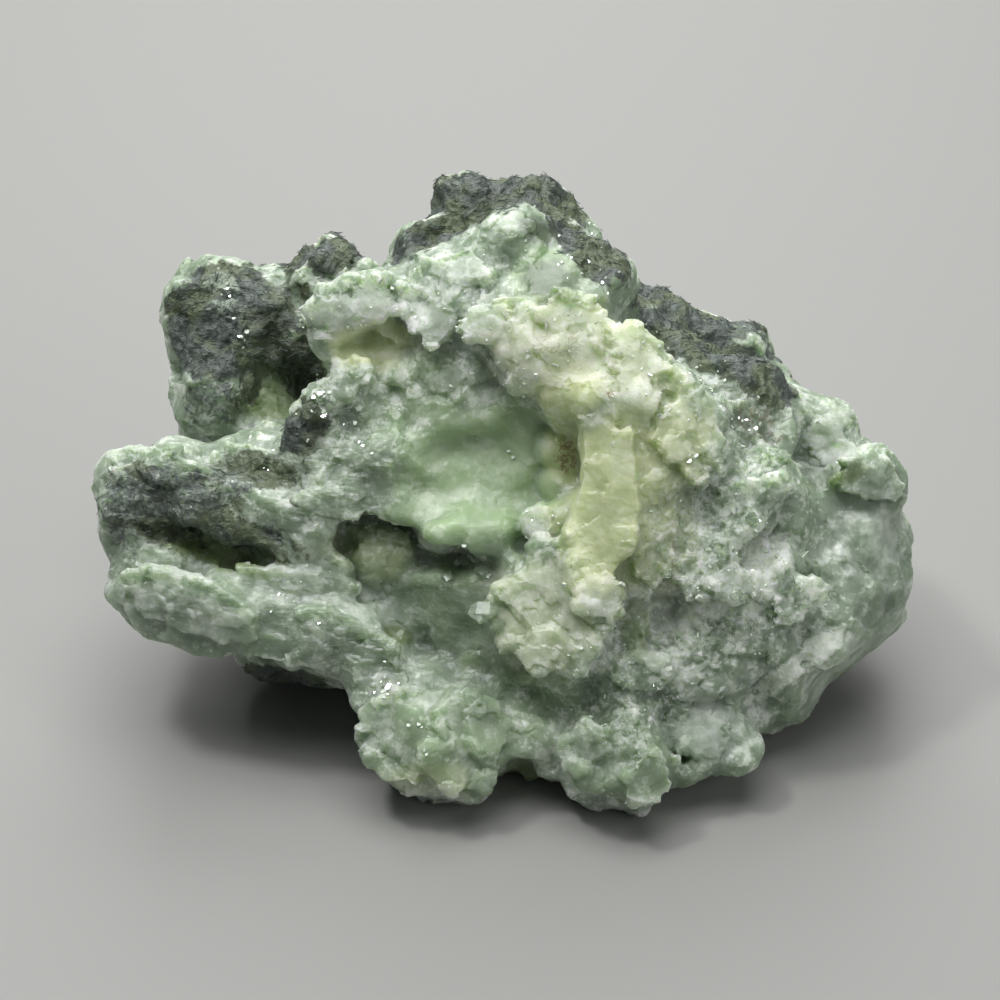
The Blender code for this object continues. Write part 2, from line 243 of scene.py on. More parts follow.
# A plate is a torn flake of crust on the photographed face: pixel, size in pixels, thickness in millimetres,
# turn in degrees, how far it is tipped up to the right and to the top, in degrees, and how torn its rim is.
Plate = namedtuple("Plate", "pixel size thick turn right top torn", defaults=(0, 0, 0, 1))
PLATES = [
    Plate((552, 612), (128, 130), 1.3, 20, -4, -4, 0.8),
    Plate((598, 598), (50, 42), 1.6, 10, 6, 0),
    Plate((545, 524), (48, 34), 1.2, -30),
    Plate((520, 318), (128, 40), 1.2, 8, 0, -18),
    Plate((578, 322), (80, 44), 1.1, -24, 6, -10),
    Plate((362, 300), (112, 50), 1.4, 14, -6, -14),
    Plate((402, 318), (60, 56), 1.2, -20, 4),
    Plate((444, 296), (96, 74), 1.0, 30, -6),
    Plate((640, 362), (96, 60), 1.1, -34, 8),
    Plate((690, 440), (70, 80), 1.3, 20, 12),
    Plate((345, 380), (60, 40), 1.2, 30, -10),
    Plate((330, 503), (80, 26), 1.0, -14, 0, 0, 0.5),
    Plate((190, 604), (150, 60), 1.0, -20, -6, -24, 0.6),
    Plate((300, 584), (130, 34), 1.0, -10, 2, -16, 0.6),
    Plate((352, 636), (110, 36), 1.0, -28, 0, -16, 0.6),
    Plate((268, 646), (90, 28), 0.9, -20, 0, -10, 0.6),
    Plate((470, 725), (80, 66), 1.1, -40, 4, 0, 0.6),
    Plate((706, 728), (92, 58), 1.5, 10, 4, 10, 0.4),
    Plate((400, 738), (74, 96), 1.3, 30, -12, 0, 0.7),
    Plate((456, 764), (84, 56), 1.2, -16, 8, -8, 0.7),
    Plate((584, 748), (60, 44), 1.0, 30, -8, 0),
    Plate((648, 776), (50, 56), 1.0, -30, 12, -6),
    Plate((606, 505), (66, 180), 1.2, -6, -6, -6, 0.6),
    Plate((652, 530), (44, 120), 1.1, -4, 10, 0, 0.6),
    Plate((660, 650), (84, 44), 1.0, 40, 6, 6),
    Plate((640, 672), (52, 44), 1.1, -10),
    Plate((748, 570), (64, 54), 1.0, 30),
    Plate((700, 575), (60, 40), 0.9, -20),
    Plate((756, 490), (74, 26), 1.2, 12, 0, -14),
    Plate((800, 600), (66, 40), 1.0, 30, 10),
    Plate((868, 478), (66, 44), 1.3, -30, 16),
    Plate((250, 470), (80, 44), 1.0, -20, -8),
    Plate((150, 470), (70, 40), 1.1, 10, -10),
]

# A plug is a ball of rock that fills a hole too deep: pixel, radius and depth of its middle, in millimetres.
Plug = namedtuple("Plug", "pixel radius depth")
PLUGS = [
    Plug((566, 444), 2.2, 0.3),
    Plug((571, 462), 2.2, 0.2),
    Plug((566, 482), 2.0, 0.4),
    Plug((522, 544), 1.8, 1.0),
    Plug((352, 536), 2.8, 0.4),
    Plug((384, 556), 2.8, 0.4),
    Plug((683, 755), 1.4, 0.6),
    Plug((505, 731), 1.4, 0.6),
    Plug((676, 742), 1.6, 1.0),
]

# A glint is a cluster of bright cleavage faces: pixel, how many, sizes in millimetres and spread in pixels.
Glint = namedtuple("Glint", "pixel count size spread", defaults=((0.15, 0.4), 7))
GLINTS = [
    Glint((512, 450), 2, (0.25, 0.45), 3),
    Glint((478, 437), 2, (0.2, 0.4), 4),
    Glint((470, 564), 5, (0.4, 0.9), 8),
    Glint((485, 575), 3),
    Glint((322, 404), 7, (0.2, 0.6), 9),
    Glint((345, 416), 7, (0.2, 0.6), 9),
    Glint((318, 382), 3),
    Glint((242, 340), 6, (0.2, 0.5), 8),
    Glint((225, 300), 3),
    Glint((312, 332), 4),
    Glint((430, 330), 6, (0.12, 0.3), 14),
    Glint((380, 440), 7, (0.12, 0.3), 16),
    Glint((575, 270), 8, (0.12, 0.3), 12),
    Glint((610, 280), 6, (0.12, 0.3), 10),
    Glint((650, 345), 7, (0.12, 0.35), 12),
    Glint((672, 404), 6, (0.15, 0.45), 8),
    Glint((690, 455), 3, (0.2, 0.45), 6),
    Glint((710, 372), 10, (0.12, 0.35), 18),
    Glint((752, 425), 5),
    Glint((775, 548), 3, (0.25, 0.5), 4),
    Glint((742, 575), 9, (0.12, 0.3), 20),
    Glint((700, 610), 8, (0.12, 0.3), 20),
    Glint((770, 630), 8, (0.12, 0.35), 18),
    Glint((610, 660), 6, (0.12, 0.3), 20),
    Glint((385, 688), 14, (0.15, 0.5), 10),
    Glint((420, 730), 3),
    Glint((430, 755), 2),
    Glint((530, 520), 4, (0.12, 0.3), 8),
    Glint((180, 480), 6, (0.12, 0.3), 24),
    Glint((260, 450), 5, (0.12, 0.3), 14),
    Glint((290, 590), 4, (0.12, 0.3), 24),
    Glint((540, 232), 5, (0.12, 0.3), 18),
    Glint((600, 230), 5, (0.12, 0.3), 12),
]

# How unevenly the bright faces turn to the light.
GLINT_JITTER = 0.06

# A chip is a clear crystal with many flats: pixel and size in millimetres.
CHIP_CORNERS = 16
Chip = namedtuple("Chip", "pixel size")
CHIPS = [
    Chip((466, 562), 2.0),
    Chip((482, 572), 1.3),
    Chip((484, 612), 2.0),
    Chip((496, 622), 1.4),
    Chip((448, 580), 1.3),
    Chip((798, 562), 2.0),
    Chip((784, 582), 1.8),
    Chip((752, 522), 1.4),
    Chip((722, 558), 1.3),
    Chip((736, 596), 1.0),
    Chip((770, 612), 1.0),
]

# The flakes of crust on the unseen sides: how many, sizes and thicknesses in millimetres, and tip in degrees.
FAR_PLATES = 80
FAR_PLATE_SIZE = (2.0, 6.5)
FAR_PLATE_THICK = (0.7, 1.2)
FAR_PLATE_TIP = 16

# Where they may lie: millimetres inside the outline and behind the face's middle, facing away, off the floor.
FAR_MARGIN = 4.5
FAR_DEPTH = -14
FAR_FACING = -0.25
FAR_LOWEST = 2.5 * MM

# The waves of a torn rim: how close the longest lie, and for each set how many times closer, and its depth.
RIM_CLOSENESS = 3.2
RIM_WAVES = ((1, 0.4), (2.6, 0.28), (6, 0.2))
RIM_POINTS = 40
# The share of a flake's thickness that is sunk in the rock.
PLATE_SINK = 0.6

# The plates of the left arm split along this direction of the face.
SPLIT_DIRECTION = Vector((0.22, 0.97, 0.1)).normalized()

# Small blocks scattered on the skin: how many, and their usual and largest size in millimetres.
Scatter = namedtuple("Scatter", "count size largest")
CRUMBS = Scatter(700, 0.15, 0.45)
CLEAR_GRAINS = Scatter(420, 0.2, 0.6)
# How far their sizes spread, and how many shapes of block there are.
SIZE_SPREAD = 0.4
BLOCK_SHAPES = 12

# The hairs of byssolite: how many, and their thicknesses and lengths in millimetres.
NEEDLES = 6000
NEEDLE_THICKNESS = (0.03, 0.08)
NEEDLE_LENGTH = (0.3, 1.0)

# A soft square light: name, place, size and power, and the place that it is aimed at, in metres and watts.
Light = namedtuple("Light", "name place size power aim", defaults=((0, 0, 0.015),))
GLINT_LIGHT = (-0.12, 0.02, 0.28)
LIGHTS = [
    Light("overhead", (-0.02, 0.05, 0.38), 0.34, 1.62),
    Light("behind", (0, 0.3, 0.24), 0.24, 0.9, (0, 0.2, 0)),
    Light("window", GLINT_LIGHT, 0.045, 0.28),
    Light("fill", (0.24, -0.14, 0.14), 0.22, 0.2),
]
SKY_STRENGTH = 0.09
FLOOR_SIZE = 1.2

# What starts each set of random draws.
PLATE_SEED, CHIP_SEED, GROUND_SEED, GLINT_SEED = 3, 4, 5, 8


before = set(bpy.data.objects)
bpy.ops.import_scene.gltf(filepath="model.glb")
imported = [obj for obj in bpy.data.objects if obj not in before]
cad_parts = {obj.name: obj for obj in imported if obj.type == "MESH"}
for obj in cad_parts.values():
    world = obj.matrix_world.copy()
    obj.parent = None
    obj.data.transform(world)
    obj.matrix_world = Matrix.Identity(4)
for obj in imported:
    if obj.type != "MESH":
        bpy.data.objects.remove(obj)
CAD_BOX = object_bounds()


def on_face(across, up, out):
    """A point of the row frame from its place on the broken face, in millimetres."""
    return FACE_MIDDLE + FACE @ (Vector((across, up, out)) * MM)


def pixel_on_face(px, py):
    return (px - MIDDLE_PIXEL[0]) / PIXELS_PER_MM, (MIDDLE_PIXEL[1] - py) / PIXELS_PER_MM


def camera_place():
    middle = pixel_on_face(PIXELS / 2, PIXELS / 2)
    return on_face(*middle, 0) + FACE_OUT * CAMERA_DISTANCE


def make_camera():
    data = bpy.data.cameras.new("camera")
    data.lens, data.sensor_width = LENS, SENSOR
    data.clip_start, data.clip_end = 0.01, 10
    camera = bpy.data.objects.new("camera", data)
    camera.location = camera_place()
    camera.rotation_mode = "QUATERNION"
    camera.rotation_quaternion = (-FACE_OUT).to_track_quat("-Z", "Y")
    bpy.context.scene.collection.objects.link(camera)
    bpy.context.scene.camera = camera


# Meshes


def new_piece(name, bm):
    """A mesh object made from bm, at the origin."""
    mesh = bpy.data.meshes.new(name)
    bm.to_mesh(mesh)
    bm.free()
    piece = bpy.data.objects.new(name, mesh)
    bpy.context.scene.collection.objects.link(piece)
    return piece


def finish_piece(piece, material):
    piece.data.materials.append(material)
    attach(piece, "root")


def merged_copy(node):
    bm = bmesh.new()
    bm.from_mesh(node.data)
    bmesh.ops.remove_doubles(bm, verts=bm.verts, dist=1e-7)
    return bm


def apply_modifiers(piece):
    graph = bpy.context.evaluated_depsgraph_get()
    mesh = bpy.data.meshes.new_from_object(piece.evaluated_get(graph))
    old = piece.data
    piece.modifiers.clear()
    piece.data = mesh
    bpy.data.meshes.remove(old)


def even_mesh(piece, voxel, wear):
    """Gives the piece an even closed mesh, worn smooth by some rounds."""
    modifier = piece.modifiers.new("even mesh", "REMESH")
    modifier.mode = "VOXEL"
    modifier.voxel_size = voxel
    modifier = piece.modifiers.new("worn", "SMOOTH")
    modifier.iterations = wear
    apply_modifiers(piece)


def thin_out(piece, triangles, keep):
    """Collapses the mesh to a number of triangles; keep is a weight per vertex, high where few may go."""
    group = piece.vertex_groups.new(name="keep")
    for index, weight in enumerate(keep):
        group.add([index], float(weight), "REPLACE")
    modifier = piece.modifiers.new("fewer faces", "DECIMATE")
    now = sum(len(face.vertices) - 2 for face in piece.data.polygons)
    modifier.ratio = min(1, triangles / now)
    modifier.vertex_group = group.name
    modifier.invert_vertex_group = True
    modifier.vertex_group_factor = 1
    apply_modifiers(piece)
    piece.vertex_groups.clear()


def points_of(mesh):
    """The mesh's points on the face frame, in millimetres, one row each."""
    points = np.empty(len(mesh.vertices) * 3, np.float32)
    mesh.vertices.foreach_get("co", points)
    points = points.reshape(-1, 3).astype(np.float64)
    return (points - np.array(FACE_MIDDLE)) @ np.array(FACE) / MM


def smooth_step(low, high, value):
    share = np.clip((value - low) / (high - low), 0, 1)
    return share * share * (3 - 2 * share)


class Stamp:
    """A small shape that is stamped many times into one mesh."""

    def __init__(self, bm):
        bmesh.ops.triangulate(bm, faces=bm.faces)
        self.mesh = bpy.data.meshes.new("stamp")
        bm.to_mesh(self.mesh)
        bm.free()
        self.shape = np.empty(len(self.mesh.vertices) * 3, np.float32)
        self.mesh.vertices.foreach_get("co", self.shape)

    def onto(self, bm, place):
        self.mesh.vertices.foreach_set("co", self.shape)
        self.mesh.transform(place)
        bm.from_mesh(self.mesh)


# Places on the skin


def tree_of(piece):
    bm = bmesh.new()
    bm.from_mesh(piece.data)
    tree = BVHTree.FromBMesh(bm)
    bm.free()
    return tree


def behind_pixel(tree, px, py):
    """(point, normal) of the skin where a ray through that pixel of the photograph meets it."""
    eye = camera_place()
    point, normal, _, _ = tree.ray_cast(eye, (on_face(*pixel_on_face(px, py), 0) - eye).normalized())
    return point, normal


def patch_centre(tree, patch):
    """The patch's middle on the face, or the nearest place where the skin is behind its pixel."""
    for reach in range(0, 60, 4):
        for turn in range(0, 360, 45):
            angle = math.radians(turn)
            px = patch.pixel[0] + reach * math.cos(angle)
            py = patch.pixel[1] + reach * math.sin(angle)
            point, _ = behind_pixel(tree, px, py)
            if point is not None:
                return np.array(FACE.transposed() @ (point - FACE_MIDDLE)) / MM
    raise ValueError(f"no skin near {patch.pixel}")


def layer_weights(tree, points, wobble, name):
    """How strongly each point belongs to a layer, from 0 to 1."""
    weights = np.zeros(len(points))
    for patch in LAYERS[name]:
        if isinstance(patch, Far):
            away = (points - np.array(patch.at)) / (np.array(patch.size) / 2)
        else:
            centre = patch_centre(tree, patch)
            across, up = np.array(patch.size) / PIXELS_PER_MM / 2
            turn = math.radians(patch.turn)
            away = points - centre
            away = np.stack(
                (
                    (away[:, 0] * math.cos(turn) + away[:, 1] * math.sin(turn)) / across,
                    (away[:, 1] * math.cos(turn) - away[:, 0] * math.sin(turn)) / up,
                    away[:, 2] / (max(across, up) * 0.6 + 1.6),
                ),
                axis=1,
            )
        inside = 1 - smooth_step(*SOFT_RIM, np.linalg.norm(away, axis=1) + wobble)
        weights = np.maximum(weights, inside * patch.strength)
    return weights


def all_layers(tree, points):
    """Each layer's weight at each point, their rims made uneven, and where torn sheets of crust lie."""
    spots = [Vector(point) for point in points]
    wobble = np.array([0.34 * noise.noise(spot / 1.7) + 0.16 * noise.noise(spot / 0.5) for spot in spots])
    layers = {name: layer_weights(tree, points, wobble, name) for name in LAYERS}
    sheets = [island(spot, crust) for spot, crust in zip(spots, layers["crust"])]
    return {**layers, "sheet": np.array(sheets)}


def store_layers(piece, layers):
    for name, weights in layers.items():
        attribute = piece.data.attributes.new(name, "FLOAT", "POINT")
        attribute.data.foreach_set("value", weights.astype(np.float32))


# The skin's relief, in millimetres


def facet(point, width):
    """A surface of flat cells, each tipped its own way, with worn edges between them."""
    place = point / width
    reach, centres = noise.voronoi(place)
    tips = [noise.cell_vector(centre * 7.3) - Vector((0.5, 0.5, 0.5)) for centre in centres[:2]]
    heights = [tip.dot(place - centre) for tip, centre in zip(tips, centres)]
    share = 0.5 + 0.5 * ramp(0, 0.22, reach[1] - reach[0])
    return (heights[0] * share + heights[1] * (1 - share)) * width


def ridge(point):
    return 1 - 2 * abs(noise.noise(point))


def saw(value):
    return value - math.floor(value)


def ramp(low, high, value):
    share = min(1, max(0, (value - low) / (high - low)))
    return share * share * (3 - 2 * share)


def island(point, crust):
    """1 on a torn sheet of crust that lies on the rock, 0 off it."""
    sheet = noise.noise(point / 2.4) + 0.45 * noise.noise(point / 0.9) + 0.3 * noise.noise(point / 0.4)
    return ramp(0.0, 0.1, sheet + 1.1 * (crust - 0.5)) * ramp(0.08, 0.3, crust)


def relief(point, sheet, sugar, plates, slate, smooth):
    """How far out the skin goes from the solid at a point of it."""
    rough = 1 - 0.85 * smooth
    height = 0.26 * noise.noise(point / 3.4) + 0.16 * noise.noise(point / 1.5) * rough
    height += facet(point, 2.3) * 0.48 * min(1, 0.1 + 1.4 * rough)
    height += facet(point + Vector((5, 2, 7)), 0.8) * 0.18 * rough
    height += 0.05 * noise.noise(point / 0.5) * rough + 0.02 * noise.noise(point / 0.26) * rough
    height += 0.18 * sheet * (1 - 0.5 * smooth)
    grit = noise.noise(point / 0.8 + Vector((3, 3, 3))) + 0.5 * noise.noise(point / 0.38)
    height += (0.14 * ramp(0.1, 0.3, grit) + 0.06 * grit) * sugar
    along = point.dot(SPLIT_DIRECTION)
    steps = saw(along / 1.2 + 0.9 * noise.noise(point / 3.1) + 0.3 * noise.noise(point / 0.9))
    height += (0.2 * steps - 0.1) * plates * (0.3 + 0.7 * rough)
    streaks = Vector((point.x * 0.5, point.y * 2.4, point.z * 2.4))
    height += 0.07 * (noise.noise(streaks) + 0.6 * noise.noise(streaks * 2.3)) * plates
    height += slate * (0.34 * noise.noise(point / 1.1) + 0.12 * ridge(point / 0.6) - 0.1)
    return height


def work_relief(piece, layers):
    bm = bmesh.new()
    bm.from_mesh(piece.data)
    bm.normal_update()
    names = ("sheet", "sugar", "plates", "slate", "smooth")
    weights = np.stack([layers[name] for name in names], axis=1)
    points = points_of(piece.data)
    moves = [
        vert.normal * relief(Vector(point), *weight) * MM
        for vert, point, weight in zip(bm.verts, points, weights)
    ]
    low, high = (np.array(corner) for corner in CAD_BOX)
    for vert, move in zip(bm.verts, moves):
        vert.co = Vector(np.clip(vert.co + move, low - PROUD, high + PROUD))
        vert.co.z = max(vert.co.z, FLOOR_GAP)
    bm.to_mesh(piece.data)
    bm.free()


def verts_of(geometry):
    return [item for item in geometry if isinstance(item, bmesh.types.BMVert)]


def add_plate(bm, place, size, thick, torn, rng):
    """A torn flake: a disc with a ragged rim, square at the edge."""
    disc = bmesh.new()
    bmesh.ops.create_circle(disc, cap_ends=True, segments=RIM_POINTS, radius=0.5)
    start = Vector((rng.uniform(0, 99), rng.uniform(0, 99), 0))
    for vert in disc.verts:
        rim = start + vert.co * RIM_CLOSENESS
        ragged = 1 + torn * sum(depth * noise.noise(rim * closer) for closer, depth in RIM_WAVES)
        vert.co = Vector((vert.co.x * size[0], vert.co.y * size[1], 0)) * ragged
    up = Vector((0, 0, thick))
    raised = bmesh.ops.extrude_face_region(disc, geom=disc.faces[:])["geom"]
    bmesh.ops.translate(disc, vec=up, verts=verts_of(raised))
    bmesh.ops.translate(disc, vec=up * -PLATE_SINK, verts=disc.verts)
    bmesh.ops.transform(disc, matrix=place, verts=disc.verts)
    bmesh.ops.recalc_face_normals(disc, faces=disc.faces)
    flake = bpy.data.meshes.new("flake")
    disc.to_mesh(flake)
    disc.free()
    bm.from_mesh(flake)
    bpy.data.meshes.remove(flake)


def turn_to(normal, across):
    """A rotation whose z is the normal and whose x is as near across as it can be."""
    right = (across - normal * across.dot(normal)).normalized()
    return Matrix((right, normal.cross(right), normal)).transposed().to_4x4()


def is_far(tree, face):
    """Whether a face of the body looks away from the photograph, inside its outline and off the floor."""
    across, up, out = (FACE.transposed() @ (face.center - FACE_MIDDLE)) / MM
    if out > FAR_DEPTH or face.normal.dot(FACE_OUT) > FAR_FACING or face.center.z < FAR_LOWEST:
        return False
    eye = camera_place()
    turns = [math.radians(turn) for turn in range(0, 360, 60)]
    spots = [
        on_face(across + math.cos(turn) * FAR_MARGIN, up + math.sin(turn) * FAR_MARGIN, out)
        for turn in turns
    ]
    return all(tree.ray_cast(eye, (spot - eye).normalized())[0] is not None for spot in spots)


def add_plates(bm, tree, body):
    rng = random.Random(PLATE_SEED)
    for plate in PLATES:
        point, normal = behind_pixel(tree, *plate.pixel)
        facing = (normal + FACE_OUT * 1.6).normalized()
        lean = Euler([math.radians(angle) for angle in (-plate.top, plate.right, plate.turn)], "ZYX")
        place = Matrix.Translation(point) @ turn_to(facing, Vector((1, 0, 0))) @ lean.to_matrix().to_4x4()
        size = [side / PIXELS_PER_MM * MM for side in plate.size]
        add_plate(bm, place, size, plate.thick * MM, plate.torn, rng)
    far = [face for face in body.data.polygons if is_far(tree, face)]
    for face in rng.sample(far, FAR_PLATES):
        across = Vector([rng.gauss(0, 1) for _ in range(3)])
        tips = [math.radians(rng.uniform(-FAR_PLATE_TIP, FAR_PLATE_TIP)) for _ in range(3)]
        tip = Euler(tips).to_matrix().to_4x4()
        place = Matrix.Translation(face.center) @ turn_to(face.normal, across) @ tip
        size = [rng.uniform(*FAR_PLATE_SIZE) * MM for _ in range(2)]
        add_plate(bm, place, size, rng.uniform(*FAR_PLATE_THICK) * MM, 1, rng)


def add_plugs(bm, tree):
    for plug in PLUGS:
        point, _ = behind_pixel(tree, *plug.pixel)
        ball = bmesh.ops.create_icosphere(bm, subdivisions=3, radius=plug.radius * MM)["verts"]
        bmesh.ops.translate(bm, vec=point - FACE_OUT * plug.depth * MM, verts=ball)


def make_skin():
    """The dense skin that stands for the solid, its layers stored on its points."""
    skin = new_piece("rough_prehnite", merged_copy(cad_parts[NODE]))
    even_mesh(skin, BODY_VOXEL, BODY_WEAR)
    bm = bmesh.new()
    bm.from_mesh(skin.data)
    tree = tree_of(skin)
    add_plates(bm, tree, skin)
    add_plugs(bm, tree)
    bm.to_mesh(skin.data)
    bm.free()
    even_mesh(skin, SKIN_VOXEL, SKIN_WEAR)
    work_relief(skin, all_layers(tree_of(skin), points_of(skin.data)))

    # The side that the photograph shows keeps more of its triangles.
    facing = np.array([vert.normal.dot(FACE_OUT) for vert in skin.data.vertices])
    thin_out(skin, SKIN_TRIANGLES, 0.1 + 0.85 * smooth_step(-0.5, 0.1, facing))
    tree = tree_of(skin)
    layers = all_layers(tree, points_of(skin.data))
    store_layers(skin, layers)
    return skin, tree, layers


# Shaders


class Wire:
    """A shader socket that sums can be written on."""

    def __init__(self, shader, socket):
        self.shader = shader
        self.socket = socket

    def maths(self, operation, *others):
        values = dict(enumerate((self, *others)))
        return self.shader.node("ShaderNodeMath", {"operation": operation}, values)

    def turned(self, operation, first):
        return self.shader.node("ShaderNodeMath", {"operation": operation}, {0: first, 1: self})

    def __add__(self, other):
        return self.maths("ADD", other)

    def __sub__(self, other):
        return self.maths("SUBTRACT", other)

    def __mul__(self, other):
        return self.maths("MULTIPLY", other)

    def __rsub__(self, other):
        return self.turned("SUBTRACT", other)

    __radd__ = __add__
    __rmul__ = __mul__

    def larger(self, other):
        return self.maths("MAXIMUM", other)

    def step(self, low, high):
        """0 below low, 1 above high, and a smooth rise between."""
        values = {"Value": self, "From Min": low, "From Max": high}
        return self.shader.node("ShaderNodeMapRange", {"interpolation_type": "SMOOTHSTEP"}, values)


class Shader:
    """A material's node tree, with the nodes that this object's finishes are made of."""

    def __init__(self, name):
        self.material = bpy.data.materials.new(name)
        self.material.use_nodes = True
        self.tree = self.material.node_tree
        self.tree.nodes.clear()
        coordinates = self.tree.nodes.new("ShaderNodeTexCoord")
        place = Wire(self, coordinates.outputs["Object"])
        self.place = self.node("ShaderNodeVectorMath", {"operation": "SCALE"}, {0: place, "Scale": 1 / MM})

    def node(self, kind, settings, values, output=0):
        """Adds a node: its settings first, then a value or a link for each socket. It gives one output."""
        node = self.tree.nodes.new(kind)
        for name, value in settings.items():
            setattr(node, name, value)
        for name, value in values.items():
            if isinstance(value, Wire):
                self.tree.links.new(value.socket, node.inputs[name])
            else:
                node.inputs[name].default_value = value
        return Wire(self, node.outputs[output]) if node.outputs else None

    def layers(self, *names):
        """The layers stored on the skin's points."""
        return [self.node("ShaderNodeAttribute", {"attribute_name": name}, {}, "Fac") for name in names]

    def grain(self, size, detail=2.0, roughness=0.5, place=None, distortion=0.0):
        """Noise whose lumps are about size millimetres."""
        values = {
            "Vector": place or self.place,
            "Scale": 1 / size,
            "Detail": detail,
            "Roughness": roughness,
            "Distortion": distortion,
        }
        return self.node("ShaderNodeTexNoise", {}, values, "Fac")

    def facets(self, size):
        """Height of flat cells, each tipped its own way, about 0."""
        cells = self.node("ShaderNodeTexVoronoi", {}, {"Vector": self.place, "Scale": 1 / size}, "Color")
        centre = Wire(self, cells.socket.node.outputs["Position"])
        away = self.node("ShaderNodeVectorMath", {"operation": "SUBTRACT"}, {0: self.place, 1: centre})
        tip = self.node("ShaderNodeVectorMath", {"operation": "SUBTRACT"}, {0: cells, 1: (0.5, 0.5, 0.5)})
        return self.node("ShaderNodeVectorMath", {"operation": "DOT_PRODUCT"}, {0: tip, 1: away}, "Value")

    def stretched(self, across, up, out):
        """Coordinates pulled out along the split direction of the plates."""
        values = {0: self.place, 1: (across, up, out)}
        return self.node("ShaderNodeVectorMath", {"operation": "MULTIPLY"}, values)

    def mix(self, below, above, share):
        """One colour over another."""
        values = {0: share, 6: below, 7: above}
        return self.node("ShaderNodeMix", {"data_type": "RGBA", "clamp_factor": True}, values, 2)

    def surface(self, values):
        return self.node("ShaderNodeBsdfPrincipled", {}, values)

    def bump(self, height, distance):
        return self.node("ShaderNodeBump", {}, {"Height": height, "Distance": distance * MM})

    def finish(self, surface):
        self.node("ShaderNodeOutputMaterial", {}, {"Surface": surface})
        return self.material


def colour(red, green, blue):
    return (red, green, blue, 1.0)


GREY_GREEN = colour(0.36, 0.425, 0.34)
GREY_GREEN_DARK = colour(0.235, 0.3, 0.215)
MINT = colour(0.35, 0.47, 0.27)
LEMON = colour(0.62, 0.68, 0.37)
WHITE_CRUST = colour(0.78, 0.83, 0.74)
CREAM_CRUST = colour(0.8, 0.81, 0.58)
# Painted shade for the recesses of the prehnite, olive.
RECESS_SHADE_GREEN = colour(0.16, 0.22, 0.07)
SUGAR_GREY = colour(0.26, 0.34, 0.23)
SHADED = colour(0.09, 0.12, 0.09)
SLATE = colour(0.07, 0.085, 0.072)
SLATE_PALE = colour(0.16, 0.19, 0.175)
SLATE_OLIVE = colour(0.11, 0.14, 0.065)
# Painted shade for the recesses and shaded places of the byssolite.
RECESS_SHADE_SLATE = colour(0.03, 0.042, 0.015)
RUST = colour(0.2, 0.11, 0.04)
CRUMB_GREY = colour(0.5, 0.58, 0.46)
CRUMB_WHITE = colour(0.78, 0.82, 0.74)
CLEAR_GREEN = colour(0.8, 0.9, 0.78)
CLEAVAGE_GREEN = colour(0.4, 0.48, 0.38)
CLEAVAGE_WHITE = colour(0.62, 0.68, 0.6)
NEEDLE_DARK = colour(0.05, 0.065, 0.055)
NEEDLE_PALE = colour(0.22, 0.27, 0.25)
FLOOR_GREY = colour(0.265, 0.267, 0.254)
SKY = colour(0.9, 0.95, 1.0)


